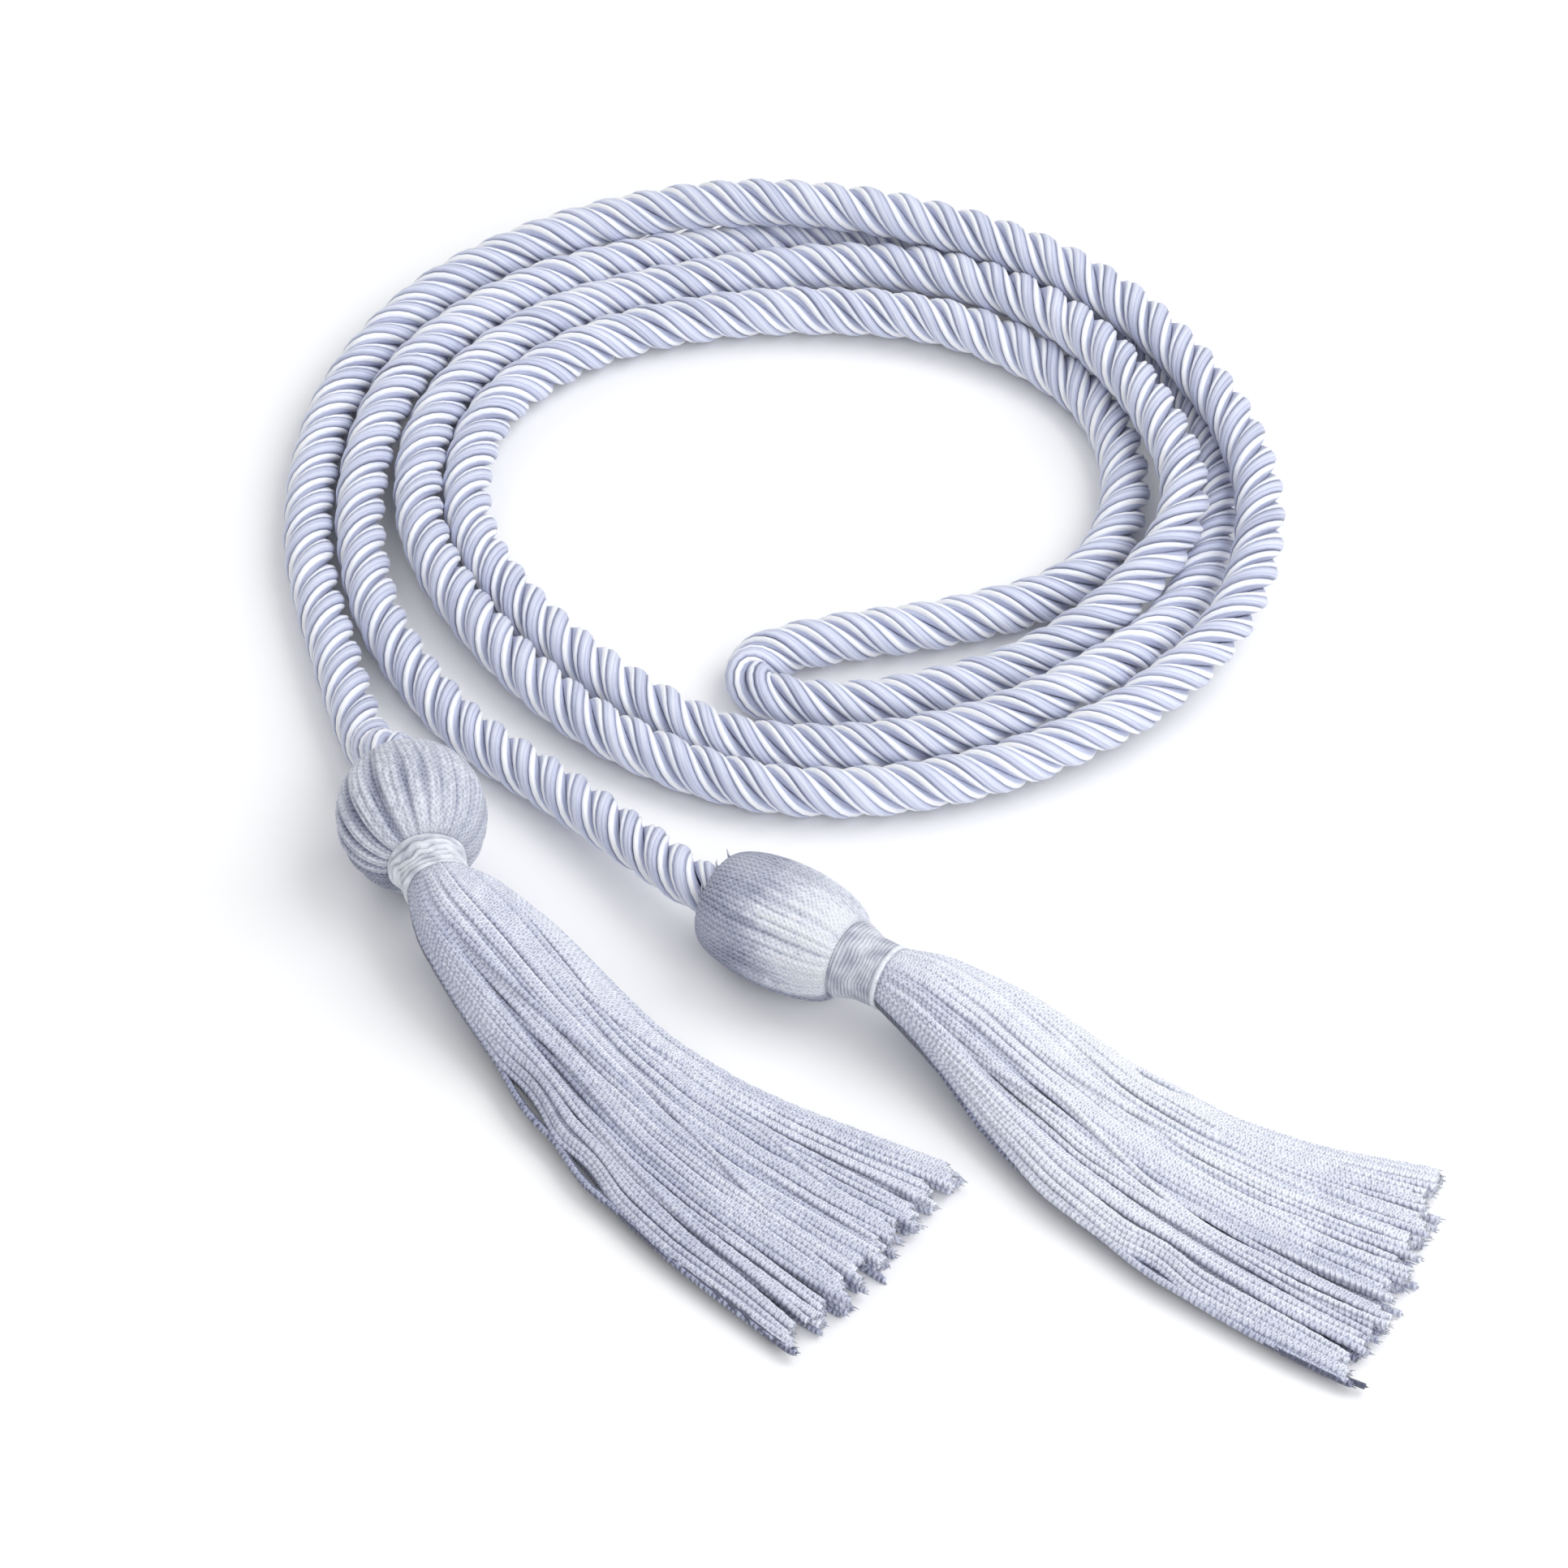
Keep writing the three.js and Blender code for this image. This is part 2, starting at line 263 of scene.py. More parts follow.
# Materials
class Nodes:
    """A material with short ways to make its nodes. A value is a number or another node's socket."""

    def __init__(self, name):
        self.mat = bpy.data.materials.new(name)
        self.mat.use_nodes = True
        self.tree = self.mat.node_tree

    def new(self, kind):
        return self.tree.nodes.new("ShaderNode" + kind)

    def put(self, socket, v):
        if isinstance(v, bpy.types.NodeSocket):
            self.tree.links.new(v, socket)
        else:
            socket.default_value = v

    def math(self, op, a, b=0.0):
        n = self.new("Math")
        n.operation = op
        self.put(n.inputs[0], a)
        self.put(n.inputs[1], b)
        return n.outputs[0]

    def times(self, a, b):
        return self.math("MULTIPLY", a, b)

    def total(self, first, *rest):
        for v in rest:
            first = self.math("ADD", first, v)
        return first

    def swing(self, v, amount, middle=0.5):
        """v as a swing round 0, of the given amount."""
        return self.times(self.math("SUBTRACT", v, middle), amount)

    def uv(self):
        n, split = self.new("UVMap"), self.new("SeparateXYZ")
        n.uv_map = "yarn"
        self.tree.links.new(n.outputs[0], split.inputs[0])
        return split.outputs[0], split.outputs[1]

    def tint(self):
        n = self.new("Attribute")
        n.attribute_name = "tint"
        return n.outputs["Fac"]

    def noise(self, place, scale, detail, rough=0.5):
        n = self.new("TexNoise")
        self.put(n.inputs["Vector"], place)
        n.inputs["Scale"].default_value = scale
        n.inputs["Detail"].default_value = detail
        n.inputs["Roughness"].default_value = rough
        return n.outputs["Fac"]

    def patches(self, scale, detail):
        """Noise over the object's own space."""
        return self.noise(self.new("TexCoord").outputs["Object"], scale, detail)

    def grain(self, along, around, detail, rough=0.5):
        """Noise over the yarn's map, with a scale along the yarn and one round it."""
        n = self.new("CombineXYZ")
        for socket, v, scale in zip(n.inputs, self.uv(), (along, around)):
            self.put(socket, self.times(v, scale))
        return self.noise(n.outputs[0], 1.0, detail, rough)

    def ramp(self, v, stops):
        n = self.new("ValToRGB")
        self.put(n.inputs[0], v)
        elements = n.color_ramp.elements
        while len(elements) < len(stops):
            elements.new(0.5)
        for element, (position, colour) in zip(elements, stops):
            element.position, element.color = position, (*colour, 1)
        return n.outputs[0]

    def bump(self, height, distance, strength):
        n = self.new("Bump")
        n.inputs["Strength"].default_value = strength
        n.inputs["Distance"].default_value = distance
        self.put(n.inputs["Height"], height)
        return n.outputs[0]

    def surface(self, inputs):
        """Sets the surface's inputs, and hands back the material."""
        for name, v in inputs.items():
            self.put(self.tree.nodes["Principled BSDF"].inputs[name], v)
        return self.mat


def satin_material():
    """Satin yarn: fine filaments along each yarn, blue-grey with painted shade in the grooves and bright
    with a painted highlight on the crowns.
    """
    n = Nodes("satin_rope")
    filaments = n.grain(0.35, 60.0, 3.0, 0.6)
    streaks = n.grain(0.12, 16.0, 2.0)
    shade = n.total(n.tint(), n.swing(streaks, 0.52), n.swing(n.patches(45.0, 2.0), 0.14))
    along = n.new("Tangent")
    along.direction_type, along.uv_map = "UV_MAP", "yarn"
    return n.surface({
        "Base Color": n.ramp(shade, [(0.0, (0.11, 0.12, 0.19)), (0.25, (0.40, 0.43, 0.58)),
                                     (0.5, (0.62, 0.66, 0.84)), (0.75, (0.82, 0.85, 0.95)),
                                     (1.0, (0.97, 0.98, 1.0))]),
        "Roughness": n.total(0.30, n.times(filaments, 0.22)),
        "Specular IOR Level": 0.6,
        "Sheen Weight": 0.25,
        "Sheen Roughness": 0.4,
        "Anisotropic": 0.55,
        "Tangent": along.outputs[0],
        "Normal": n.bump(filaments, 0.00022, 0.75)})


def yarn_material(name, deep, low, high, painted_glints, dulled, grain, ribs):
    """Knitted cord: rows of slanted stitches along each cord, which its map counts, in relief as strong as
    ribs. The colour is lighter on the stitches and darker between them, partly the knit's own pattern and
    partly painted shade. Here and there a stitch has a painted glint, and where the tint is dark the share
    dulled of this is lost."""
    stitch = 0.9
    n = Nodes(name)
    u, v = n.uv()
    tint = n.tint()
    uneven = n.times(n.patches(260.0, 1.0), 1.6 * stitch)
    turn = n.times(n.total(u, uneven), TURN / stitch)
    around = n.times(v, TURN)
    knit = n.math("MAXIMUM", n.math("SINE", n.total(turn, around)),
                  n.math("SINE", n.math("SUBTRACT", turn, around)))
    knit = n.total(n.times(knit, 0.5), 0.5)
    fuzz = n.grain(1.6, 22.0, 3.0, 0.6)
    # painted glints: bright spots in the colour, dulled where the tint holds painted shade
    spots = n.swing(n.grain(*grain, 1.0), 1.0)
    lit = n.math("MINIMUM", n.math("MAXIMUM", tint, 0.0), 1.0)
    strength = n.times(n.total(1 - dulled, n.times(lit, dulled)), painted_glints * 1.6)
    shade = n.total(n.times(knit, ribs), n.times(tint, 0.45), 0.42 - ribs / 2, n.times(spots, strength),
                    n.swing(n.patches(90.0, 2.0), 0.35), n.swing(fuzz, 0.3))
    height = n.total(n.times(knit, ribs * 2.7), n.times(fuzz, 0.5))
    return n.surface({
        "Base Color": n.ramp(n.times(shade, 0.8), [(0.0, deep), (0.2, low), (0.75, high),
                                                   (1.0, (0.93, 0.955, 1.0))]),
        "Roughness": n.total(0.45, n.times(fuzz, 0.2)),
        "Specular IOR Level": 0.5,
        "Sheen Weight": 0.35,
        "Sheen Roughness": 0.5,
        "Normal": n.bump(height, 0.00028, 0.9)})


def thread_material(name, low, high):
    """Smooth thread wound round and round: filaments that follow the winding."""
    n = Nodes(name)
    strands = n.grain(7.0, 0.35, 3.0, 0.6)
    patches = n.patches(500.0, 2.0)
    shade = n.total(n.times(n.tint(), 0.8), n.swing(strands, 0.5, middle=0.4), n.swing(patches, 0.9))
    return n.surface({
        "Base Color": n.ramp(shade, [(0.0, low), (0.8, high)]),
        "Roughness": n.total(0.36, n.times(strands, 0.2)),
        "Sheen Weight": 0.3,
        "Normal": n.bump(n.total(strands, n.times(patches, 1.3)), 0.00035, 0.9)})


SATIN = satin_material()
SKIRT_YARN = yarn_material("skirt_cords", deep=(0.08, 0.09, 0.15), low=(0.34, 0.37, 0.54),
                           high=(0.86, 0.895, 1.0), painted_glints=0.35, dulled=0.0, grain=(1.2, 0.9), ribs=0.36)
HEAD_YARN = yarn_material("head_yarn", deep=(0.10, 0.11, 0.17), low=(0.31, 0.34, 0.47),
                          high=(0.86, 0.895, 1.0), painted_glints=0.8, dulled=0.7, grain=(0.75, 1.4), ribs=0.24)
BAND_THREAD = thread_material("band_thread", low=(0.34, 0.37, 0.47), high=(0.91, 0.935, 1.0))

# Rope
ROPE_D = 7.9
LAY = 18.2  # one full twist, along the rope
PLIES = 3
PLY_REACH = 2.2  # how far each ply's middle is from the rope's
PLY_RADIAL, PLY_SIDE = ROPE_D / 2 - PLY_REACH, 1.86  # half a ply's section, outward and sideways
RING_STEP = 1.08
CURVE_POINTS = 12000
LIFT = 0.15  # the dressed rope is thicker than the tube, so its middle lies higher
TAPER, TAPER_LENGTH = 0.16, 6  # how much the plies close up at the rope's ends, and over what length
FLOOR_CLEARANCE, FLOOR_PRESS = 0.02, 0.12
# Feature size along the rope, and amount
TWIST_DRIFT = 55, 0.16
PLY_WOBBLE = 9, 0.05
SECTION_WANDER = 16, 1.0
CONTRAST_DRIFT, LIGHT_DRIFT = (7, 0.06), (11, 0.025)
ACROSS_VIEW_SHEEN = 0.08  # how much painted sheen lightens satin that lies across the view


def on_axis(tassel, forward):
    """A point on a head's axis, measured forward from where the rope enters it."""
    h = np.radians(tassel["heading"])
    return np.array([tassel["x"] + forward * np.cos(h), tassel["y"] + forward * np.sin(h),
                     tassel["head_d"] / 2])


ends = [SOCKET_DEPTH - GAP, SOCKET_DEPTH - GAP - ROPE_LEAD]
route = [on_axis(LEFT, f) for f in ends] + [np.array([x, y, ROPE_CAD / 2 + rise]) for x, y, rise in COIL]
route += [on_axis(RIGHT, f) for f in reversed(ends)]
route = np.array(route) + MIDDLE
line, at = even(centripetal(route, np.linspace(0, 1, CURVE_POINTS)), RING_STEP)
line = smoothed(line, 5)
line[:, 2] += LIFT
T, S, U = frames(line)
phase = TURN * at / LAY + smooth_noise(at, *TWIST_DRIFT)

# A ply's section: a broad bundle of filaments between two raised edge yarns. Degrees from outward, how
# far it stands in from the plump outline, and how light it is as painted light: a painted highlight on
# the edge yarns and painted shade in the grooves
SECTION = [
    (-150, 0.15, 0.24), (-112, 0.05, 0.3), (-88, 0.0, 0.34), (-72, 0.04, 0.36), (-64, -0.02, 0.85),
    (-52, -0.13, 1.05), (-42, -0.04, 0.85), (-36, 0.24, 0.0), (-29, 0.1, 0.2), (-15, 0.0, 0.52),
    (-6, 0.06, 0.38), (1, 0.0, 0.62), (15, 0.0, 0.52), (29, 0.08, 0.26), (36, 0.24, 0.0),
    (42, -0.04, 0.85), (52, -0.13, 1.05), (64, -0.02, 0.85), (72, 0.04, 0.36), (88, 0.0, 0.34),
    (112, 0.05, 0.3), (150, 0.15, 0.24)]
degrees, inset, painted_section_light = (np.array(c, float) for c in zip(*SECTION))
phi = np.radians(degrees)
share_round = (degrees - degrees[0]) / 360
rope = Builder()
for ply in range(PLIES):
    turn = phase + ply * TURN / PLIES
    wobble = smooth_noise(at, *PLY_WOBBLE)
    radial = np.cos(turn)[:, None] * S + np.sin(turn)[:, None] * U
    middle = line + (PLY_REACH + wobble * 0.6)[:, None] * radial
    along = np.gradient(middle, axis=0)
    along /= np.linalg.norm(along, axis=1)[:, None]
    side = np.cross(along, radial)
    side /= np.linalg.norm(side, axis=1)[:, None]
    wander = smooth_noise(at, *SECTION_WANDER, channels=2)
    angle = phi[None] + 0.1 * wander[:, :1] * np.cos(phi / 2)[None]
    depth = inset[None] * (1 + 0.35 * wander[:, 1:])
    slim = 1 - TAPER * (bell(at, TAPER_LENGTH) + bell(at[-1] - at, TAPER_LENGTH))[:, None]
    out = (PLY_RADIAL - depth) * slim * np.cos(angle)
    across = (PLY_SIDE * (1 + wobble)[:, None] - depth) * slim * np.sin(angle)
    rings = middle[:, None] + out[..., None] * radial[:, None] + across[..., None] * side[:, None]
    # what would sink into the floor is pressed flat on it
    pressed = FLOOR_CLEARANCE + FLOOR_PRESS * (rings[..., 2] + 0.5).clip(0, 0.5)
    rings[..., 2] = np.maximum(rings[..., 2], pressed)
    # painted light round the section: a painted highlight on the edge yarns and painted shade in the
    # grooves, with a slow random drift
    light = painted_section_light[None] * (1 + smooth_noise(at, *CONTRAST_DRIFT))[:, None]
    light = light + smooth_noise(at, *LIGHT_DRIFT)[:, None]
    # painted sheen: lighter on the near and the far side of the coil, where the rope lies across the view
    light = light + (ACROSS_VIEW_SHEEN * T[:, 0] ** 2 * (np.abs(line[:, 1] - 50) / 60).clip(0, 1))[:, None]
    # the section runs backwards here, so that its faces point out
    rope.skin(rings[:, ::-1], at, 1 - share_round[::-1], tint=light.clip(0, 1)[:, ::-1])
rope_object = rope.object("rope_satin", SATIN, "satin_rope")
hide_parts("rope")

# Heads
HEAD_RINGS, CORD_CORNERS = 120, 5
RIM_RINGS, RIM_RADIUS, RIM_DEPTH = 8, 3.2, 2.4  # where the head closes in round the rope
CORD_RELIEF = 0.17
LOOSE_ENDS = 9
LOOSE_END_RADII = np.array([0.2, 0.2, 0.18, 0.17, 0.14, 0.06])


def to_frame(tassel, P):
    """A tassel's own frame starts where the rope enters its head, with +X along the head."""
    h = np.radians(tassel["heading"])
    c, s = np.cos(h), np.sin(h)
    o = on_axis(tassel, 0) + MIDDLE
    x = P[..., 0] * c - P[..., 1] * s + o[0]
    y = P[..., 0] * s + P[..., 1] * c + o[1]
    return np.stack([x, y, np.maximum(P[..., 2] + o[2], 0.03)], -1)


def turned(x, radius, theta, sideways=0.0):
    """Rings of a turned body at the distances x, from their radii (R, S)."""
    return np.stack([np.broadcast_to(x[:, None], radius.shape), radius * np.sin(theta) + sideways,
                     -radius * np.cos(theta)], -1)


def head(side, tassel, cords, folds, deep_at, deep, painted_light_along, painted_shade_at, painted_far_shade):
    """The covering cords run from the rope over the mould to the neck. The folds are gathers: how many,
    how deep and from where along the head. The share deep of their depth is only round the angle deep_at.
    The painted_light_along is painted light: how light the head is at four places along it, lighter
    towards its lit front. Painted shade darkens it round the angle painted_shade_at. On the far side,
    below an angle, painted shade darkens it by an amount that grows over a width."""
    t = np.linspace(0, 1, HEAD_RINGS)
    along = (1 - np.cos(t * np.pi)) / 2
    base = (tassel["rear_d"] + (tassel["neck"][0] - tassel["rear_d"]) * along) / 2
    full = np.sin(along * np.pi).clip(0) ** tassel["swell"]
    radius = base + (tassel["head_d"] / 2 - base) * full
    rim = np.linspace(0, np.pi / 2, RIM_RINGS, endpoint=False)
    x = np.r_[RIM_DEPTH * np.cos(rim) ** 1.5, along * tassel["head_l"]]
    radius = np.r_[RIM_RADIUS + (radius[0] - RIM_RADIUS) * np.sin(rim), radius]
    along = np.r_[np.zeros(RIM_RINGS), along]
    theta = circle(cords * CORD_CORNERS)
    size = np.clip(radius / (tassel["head_d"] / 2), 0.35, 1)[:, None]
    lean = 0.0625 * np.sin(2 * theta + 0.7)[None] * (1 - along)[:, None] ** 2
    cell = np.abs(np.sin((theta[None] + 0.02 * np.sin(5 * theta + 9 * along[:, None])) * cords / 2))
    away = (np.degrees(theta) - deep_at + 180) % 360 - 180
    weight = (1 - deep) + deep * bell(away, 52)
    gather = np.zeros((len(x), len(theta)))
    for count, amount, start in folds:
        ph = rng.uniform(0, TURN)
        bend = theta[None] + lean + 0.12 * np.sin(3 * theta + ph)[None]
        sharp = np.abs(np.sin((count * bend + ph) / 2))
        strength = share(along, start, 0.62) ** 0.9 * amount * size[:, 0]
        gather -= strength[:, None] * weight[None] * (1 - sharp) ** 1.6
    uneven = 0.14 * np.sin(3 * theta + 1.1)[None] * np.sin(along * np.pi)[:, None]
    r = radius[:, None] + CORD_RELIEF * (cell ** 0.6 - 0.75) * size + gather + uneven

    ragged = along[:, None] + 0.04 * np.sin(5 * theta + 1)[None] + 0.035 * np.sin(17 * theta)[None]
    # painted light along the head, lighter towards its lit front
    bright = np.interp(ragged, [0, 0.36, 0.68, 1], painted_light_along)
    # painted shade on the far side of the head, below the angle far_from
    amount, far_from, far_wide = painted_far_shade
    far_shade_share = share(far_from - np.degrees(theta), 0, far_wide)[None]
    bright = bright + amount * far_shade_share * (0.1 + 0.9 * bright.clip(0, 1))
    # painted shade on the lower edge, on the side away from the light
    bright = bright - (1.3 + 0.9 * bright.clip(0, 2)) * bell(np.degrees(theta) - painted_shade_at, 22)[None]
    patch = 0.16 * np.sin(4 * theta + 2)[None] * np.sin(7 * along + 1)[:, None]
    # darker between the cords, partly their pattern and partly painted shade, and darker in the gathers as
    # painted shade; patch is uneven tone
    tint = np.clip(bright + 0.6 * cell ** 0.7 + gather * 1.5 + patch, -0.6, 1.7)
    b = Builder()
    b.skin(to_frame(tassel, turned(x, r, theta)), arc(np.stack([x, radius, 0 * x], -1)),
           theta / TURN * cords, tint)

    # loose ends that stick out of the rim round the rope
    q = np.linspace(0, 1, len(LOOSE_END_RADII))[:, None]
    for _ in range(LOOSE_ENDS):
        g = np.radians(180 + rng.normal(0, 42))
        out = np.array([0, np.sin(g), -np.cos(g)])
        curl = np.array([0, np.cos(g), np.sin(g)]) * rng.normal(0, 1.3)
        run = out * (tassel["rear_d"] / 2 - 0.9) + q * out * rng.uniform(0.9, 1.9) + q ** 2 * curl
        run = run + np.array([0.5, 0, 0]) - q * np.array([rng.uniform(0.5, 1.8), 0, 0])
        b.skin(to_frame(tassel, tube(run, LOOSE_END_RADII, 5)), arc(run), tint=0.5)
    o = b.object(side + "_tassel_head_yarn", HEAD_YARN, "yarn")
    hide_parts(side + "_tassel_head")


# Necks
NECK_SIDES, WINDING_RINGS = 84, 8
TIE_RADIUS = 0.42


def neck(side, tassel, turns, relief, tie, light, lean):
    """A wound band of uneven threads, and for a neck with a tie one thread drawn tight in front of it. The
    band leans sideways towards the skirt."""
    t = np.linspace(-0.1, 1.04, turns * WINDING_RINGS + 1)
    rear, waist, front = tassel["neck"]
    r0 = np.interp(t, [-0.1, 0.06, 0.5, 0.94, 1.04],
                   [rear / 2 - 0.3, rear / 2 + 0.1, waist / 2, front / 2, front / 2 - 0.4])
    theta = circle(NECK_SIDES)
    drift = (0.4 * np.sin(theta + 1) + 0.3 * np.sin(3 * theta) + 0.2 * np.sin(7 * theta + 2)
             + 0.12 * np.sin(13 * theta))
    turn = t[:, None] * turns + theta[None] / TURN + drift[None] * np.sin(np.pi * t.clip(0, 1))[:, None]
    wind = np.abs(np.sin(np.pi * turn))
    r = r0[:, None] + relief * (wind ** 0.55 - 0.65) + 0.12 * np.sin(4 * theta + 5 * t[:, None])
    x = tassel["head_l"] + GAP + t * tassel["neck_l"]
    mottle = 0.2 * np.sin(5 * theta + 1)[None] * np.sin(9 * t[:, None] + 2 * np.sin(2 * theta)[None])
    # lighter on the winding thread and darker between its turns, partly the winding and partly painted
    # shade; the mottle is uneven tone
    tint = np.clip(light + 0.65 * wind ** 0.7 + mottle, -0.15, 1)
    b = Builder()
    b.skin(to_frame(tassel, turned(x, r, theta, lean * t[:, None])), x, theta / TURN * 30, tint)
    if tie:
        a = np.linspace(0, TURN, 61)
        out = np.stack([0 * a, np.sin(a), -np.cos(a)], -1)
        ring = np.array([x[-1] - 0.35, 0, 0]) + (front / 2 - 0.1) * out
        around = circle(8)[None, :, None]
        forward = np.array([1.0, 0, 0])
        thread = ring[:, None] + TIE_RADIUS * (np.cos(around) * forward + np.sin(around) * out[:, None])
        b.skin(to_frame(tassel, thread), arc(ring), tint=0.95)
    o = b.object(side + "_tassel_neck_band", BAND_THREAD, "yarn")
    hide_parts(side + "_tassel_neck")


# Skirts
SEEN = dict(rings=100, sides=7, smoothing=5, uneven=0.006, frays=3)
HIDDEN = dict(rings=44, sides=5, smoothing=2, uneven=0.012, frays=2)
LAYERS = [(50, 1.0, SEEN), (47, 0.72, SEEN), (40, 0.36, HIDDEN), (46, 0.0, HIDDEN)]  # cords and height
PIECES = 2  # meshes that hold the cords in sight
CORD_RADII = [0, 0.12, 0.4, 1], [0.42, 0.45, 0.5, 0.52]  # from the neck to the ends
LANE_JITTER = 0.008
WANDER_SIZE = 20  # length of a cord's wander to the side and up
SWELL_LENGTH, SWELL = 2.9, 0.1  # a cord's own unevenness
LOCK_GATHER = 0.16  # how much the cords draw together in a lock, halfway and again at the ends
FRAY_RADII = np.array([0.13, 0.12, 0.1, 0.04])


def skirt_run(tassel):
    """The skirt's sections, as the part's source works them out, in the tassel's own frame."""
    axis = tassel["head_d"] / 2
    rows = [(0, 0.0, 0.0, 0.0, tassel["neck"][2], tassel["neck"][2], axis)]
    for along, width, height, lift, turn in tassel["sections"]:
        last = rows[-1]
        step = (along - last[0]) * tassel["length"]
        turn = np.radians(turn)
        half = (last[3] + turn) / 2
        h = height * tassel["height"]
        rows.append((along, last[1] + step * np.cos(half), last[2] + step * np.sin(half), turn,
                     width * tassel["width"], h, SAG * h + (axis - SAG * h) * lift))
    return np.array(rows)


def fray(target, tassel, end, T, S, U, tint):
    """A bare strand that sticks out of a cord's end."""
    d = T + rng.normal(0, 0.25, 3)
    d /= np.linalg.norm(d)
    start = end + (rng.uniform(-0.3, 0.3) * S + rng.uniform(-0.3, 0.3) * U)
    run = start[None] + np.linspace(-0.4, rng.uniform(0.3, 1.0), len(FRAY_RADII))[:, None] * d[None]
    target.skin(to_frame(tassel, tube(run, FRAY_RADII, 3)), arc(run), tint=tint)


def skirt(side, tassel, folds, slits, strays, crossing, light, painted_glare, trim, spill, shoulder, lean, step):
    """Layers of knitted cords, from the top one down. A cord's lane is its place across the skirt, from -1
    to 1, and u is the share of the skirt's length.
    folds: long hollows between groups of cords, as lane, width, depth, first and last u
    slits: openings at an edge, as edge, first and last u
    strays: cords beyond the slits, as edge, height and how far out
    crossing: cords on top that change lane, as first and last lane, first and last u
    light, painted_glare: how light the skirt is all over, and how much painted glare lightens it near
    the middle of its length
    trim: change of the cords' reach, for all of them and in proportion to the lane
    spill: how far the outermost cords pass the solid's edge, as edge, amount, first u and power
    shoulder, lean: how far one edge bulges behind the neck, and how far the root stands sideways
    step: the slope of each lock's end, which is longest at its near side"""
    rows = skirt_run(tassel)
    axis = tassel["head_d"] / 2
    start = tassel["head_l"] + tassel["neck_l"] + 2 * GAP
    locks = len(tassel["reach"])
    top = [Builder() for _ in range(PIECES)]
    under = Builder()
    lanes = [(a, level, detail, 0, None)
             for count, level, detail in LAYERS for a in (np.arange(count) + 0.5) / count * 2 - 1]
    lanes += [(edge, level, SEEN, edge * out, None) for edge, level, out in strays]
    lanes += [(cross[0], 1.0, SEEN, 0, cross) for cross in crossing]
    for a, level, detail, stray, cross in lanes:
        a = a + (0 if stray else rng.normal(0, LANE_JITTER))
        place = (np.clip(a, -1, 0.999) + 1) / 2
        cell = place * locks
        reach = np.interp(cell, np.arange(locks) + 0.5, tassel["reach"])
        reach = reach + rng.normal(0, detail["uneven"])
        reach = reach + trim[0] + trim[1] * a + step * (0.5 - cell % 1)
        u = np.linspace(0, reach, detail["rings"])
        dist = u * tassel["length"]
        past = np.maximum(u - 1, 0) * tassel["length"]
        cx, cy, turn, width, height, middle = (np.interp(u, rows[:, 0], rows[:, k]) for k in range(1, 7))
        cx, cy = cx + past * np.cos(rows[-1, 3]), cy + past * np.sin(rows[-1, 3])
        radius = np.interp(u, *CORD_RADII) * rng.uniform(0.9, 1.12)
        wander = smooth_noise(dist, WANDER_SIZE, 1.0, channels=2) * np.clip(u * 2.2, 0, 1)[:, None]

        # the lanes are spaced as round a ring at the neck, and evenly further down
        spread = smoothstep(share(u, 0, 0.45))
        lane = np.sin(np.clip(a, -1, 1) * np.pi / 2) * (1 - spread) + a * spread + 0.016 * wander[:, 0]
        if cross:
            first_lane, last_lane, first, last = cross
            lane = lane + (last_lane - first_lane) * smoothstep(share(u, first, last))
        # cords gather into locks towards the end
        lock = (np.floor(cell) + 0.5) / locks * 2 - 1
        lane = lane + (lock - a) * LOCK_GATHER * (share(u, 0.45, 1) + share(u, 0.85, 1))

        bow = np.sqrt(np.maximum(1 - np.clip(lane, -1, 1) ** 2, 0.03))
        low = np.maximum(middle - height / 2 * bow, 0) + radius
        high = np.maximum(middle + height / 2 * bow - radius, low + 0.01)
        z = low + (high - low) * np.clip(level + 0.06 * wander[:, 1], -0.02, 1.02)
        deep = 0 * u
        for fold_lane, wide, depth, first, last in folds:
            deep = deep + depth * hump(u, first, last, 0.7) * bell(lane - fold_lane - 0.12 * u, wide)
        z = np.maximum(z - deep * level, low)
        if cross:
            z = z + 0.55 * hump(u, *cross[2:], 0.5)

        off = lane * (width / 2 - radius)
        for edge, amount, first, power in spill:
            off = off + edge * amount * share(u, first, 1) ** power * share(edge * lane, 0.5, 1)
        root = share(u, 0.05, 0.5)
        off = off + lean * (1 - root) ** 2 * (1 + 2 * root)
        off = off + shoulder * hump(u, -0.04, 0.41) * share(lane, 0.2, 1)
        for edge, first, last in slits:
            part = hump(u, first, last, 1.2)
            if stray:
                off = off + part * stray * (edge * stray > 0)
            else:
                off = off - part * edge * 1.2 * share(edge * lane, 0.66, 0.92)

        P = np.stack([start + cx - off * np.sin(turn), cy + off * np.cos(turn), z - axis], -1)
        P = smoothed(P, detail["smoothing"])
        s = arc(P)
        pulse = SWELL * np.sin(TURN * s / SWELL_LENGTH + rng.uniform(0, 6))[:, None]
        pulse = 1 + pulse * np.cos(2 * circle(detail["sides"]) + rng.uniform(0, 6))[None]

        # painted shade: the lower layers of cords and the fold hollows are darker; the rest is random tone
        shade = np.clip(light + 0.3 * level + rng.normal(0, 0.17), -0.1, 1) - 0.2 * deep
        # painted glare: lighter near the middle of the skirt's length
        shade = shade + painted_glare * bell(u - 0.42, 0.3)
        # painted shade on the cords underneath and round the near edge
        shade = shade - 1.5 * (1 - level) ** 2 * share(-lane, 0.7, 0.95) - 0.25 * (level < 0.5)
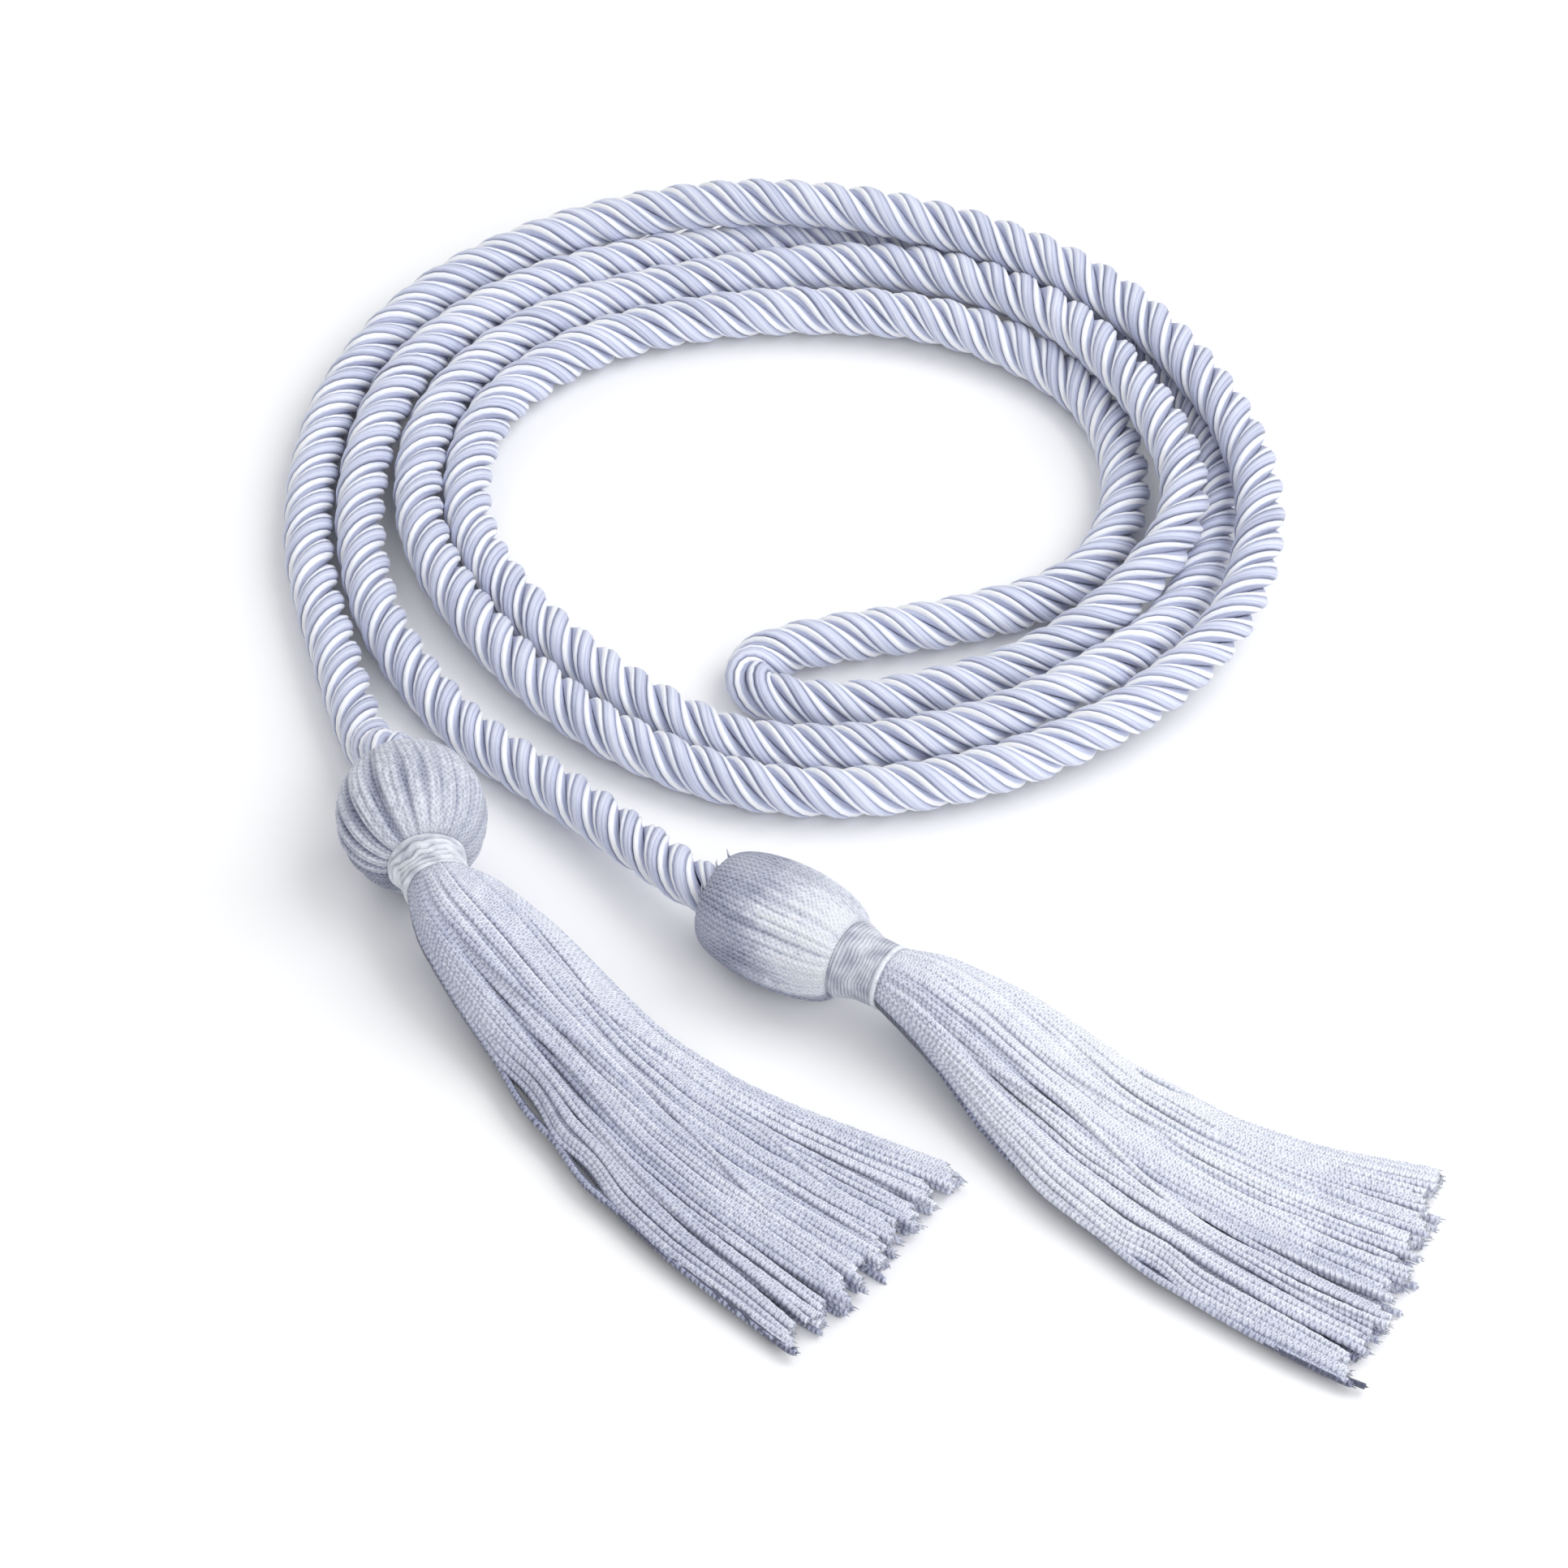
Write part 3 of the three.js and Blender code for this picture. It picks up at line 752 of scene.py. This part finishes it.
        # painted light: the skirt is lighter towards one edge and darker towards the near edge; each cord
        # is also lighter over its last 2 mm
        shade = shade + 0.22 * lane.clip(-1, 1) + 0.3 * share(s, s[-1] - 2, s[-1])
        target = top[int(place * PIECES)] if detail is SEEN else under
        rings = tube(P, radius[:, None] * pulse, detail["sides"])
        target.skin(to_frame(tassel, rings), s + rng.uniform(0, 9), tint=shade)
        directions = [d[-1] for d in frames(P)]
        for _ in range(detail["frays"]):
            fray(target, tassel, P[-1], *directions, tint=shade[-1] + 0.3)
    for k, b in enumerate(top):
        o = b.object(f"{side}_tassel_skirt_cords_{k + 1}", SKIRT_YARN, "skirt_cords")
        if k == 0:
            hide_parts(side + "_tassel_skirt")
    under.object(f"{side}_tassel_skirt_under", SKIRT_YARN, "skirt_cords")


# Tassels, as they look in the photograph
head("left", LEFT, cords=68, folds=[(19, 1.5, 0.0), (41, 0.45, 0.3)], deep_at=238, deep=0.78,
     painted_light_along=(0.05, 0.2, 0.25, 0.4), painted_shade_at=303, painted_far_shade=(-0.9, 170, 60))
head("right", RIGHT, cords=62, folds=[(27, 0.45, 0.25), (9, 0.6, 0.0)], deep_at=240, deep=0.6,
     painted_light_along=(-0.6, -0.44, 1.2, 1.65), painted_shade_at=310, painted_far_shade=(-0.9, 200, 45))
neck("left", LEFT, turns=5, relief=0.7, tie=False, light=0.2, lean=0.9)
neck("right", RIGHT, turns=14, relief=0.16, tie=True, light=-0.12, lean=0.0)
skirt("left", LEFT,
      folds=[(-0.62, 0.07, 1.2, 0.0, 0.75), (-0.3, 0.05, 0.8, 0.02, 0.5), (0.1, 0.05, 0.6, 0.1, 0.7),
             (0.45, 0.05, 0.6, 0.3, 0.95), (-0.1, 0.04, 0.6, 0.5, 1.0)],
      slits=[(-1, 0.32, 0.5), (-1, 0.5, 0.64)],
      strays=[(-1, 0.0, 0.85), (-1, 0.4, 0.75), (-1, 0.2, 0.9)],
      crossing=[(0.3, 0.62, 0.25, 0.55), (0.05, -0.2, 0.5, 0.85), (-0.35, -0.1, 0.15, 0.5),
                (0.55, 0.3, 0.6, 0.95), (-0.6, -0.75, 0.3, 0.9)],
      light=0.1, painted_glare=0.0, trim=(-0.004, -0.029), spill=[(-1, 1.6, 0.1, 0.5), (1, 2.0, 0.7, 1.0)],
      shoulder=0.9, lean=1.2, step=0.028)
skirt("right", RIGHT,
      folds=[(-0.66, 0.07, 1.2, 0.0, 0.6), (-0.38, 0.06, 0.9, 0.0, 0.7), (-0.02, 0.05, 0.7, 0.02, 0.6),
             (0.4, 0.05, 0.6, 0.2, 0.9), (0.1, 0.04, 0.6, 0.5, 1.0)],
      slits=[(-1, 0.6, 0.72), (1, 0.36, 0.52)],
      strays=[(-1, 0.2, 0.4), (-1, 0.6, 0.3), (1, 0.8, 0.5), (1, 0.3, 0.3)],
      crossing=[(0.1, 0.35, 0.3, 0.7), (-0.2, -0.4, 0.35, 0.7), (0.6, 0.45, 0.5, 0.9),
                (-0.5, -0.3, 0.2, 0.5)],
      light=0.26, painted_glare=0.5, trim=(-0.02, -0.015), spill=[(-1, 1.8, 0.1, 0.7), (1, 1.5, 0.7, 1.0)],
      shoulder=1.4, lean=0.0, step=0.022)

# Floor and light, in metres
FLOOR_HALF = 4
mesh = bpy.data.meshes.new("floor")
mesh.from_pydata([(x * FLOOR_HALF, y * FLOOR_HALF, 0) for x, y in ((-1, -1), (1, -1), (1, 1), (-1, 1))],
                 [], [(0, 1, 2, 3)])
floor = bpy.data.objects.new("floor", mesh)
bpy.context.scene.collection.objects.link(floor)
n = Nodes("floor")
mesh.materials.append(n.surface({
    "Base Color": n.ramp(n.patches(3.0, 2.0), [(0.3, (0.95, 0.95, 0.955)), (0.7, (0.965, 0.965, 0.97))]),
    "Roughness": 0.9}))


def area_light(name, position, size, power):
    """A square light that looks at the middle of the part."""
    light = bpy.data.lights.new(name, "AREA")
    light.energy, light.size = power, size
    o = bpy.data.objects.new(name, light)
    bpy.context.scene.collection.objects.link(o)
    o.location = position
    o.rotation_euler = (-mathutils.Vector(position)).to_track_quat("-Z", "Y").to_euler()


area_light("key", (0.62, 0.12, 0.8), 0.85, 5.5)
area_light("front", (0.45, -0.8, 0.65), 0.85, 4.9)
area_light("rim", (-0.5, 0.65, 0.7), 0.6, 2.0)
world = bpy.data.worlds.new("studio")
bpy.context.scene.world = world
world.use_nodes = True
background = world.node_tree.nodes["Background"]
background.inputs["Color"].default_value = (0.97, 0.98, 1.0, 1)
background.inputs["Strength"].default_value = 0.53
bpy.context.scene.view_settings.view_transform = "Standard"
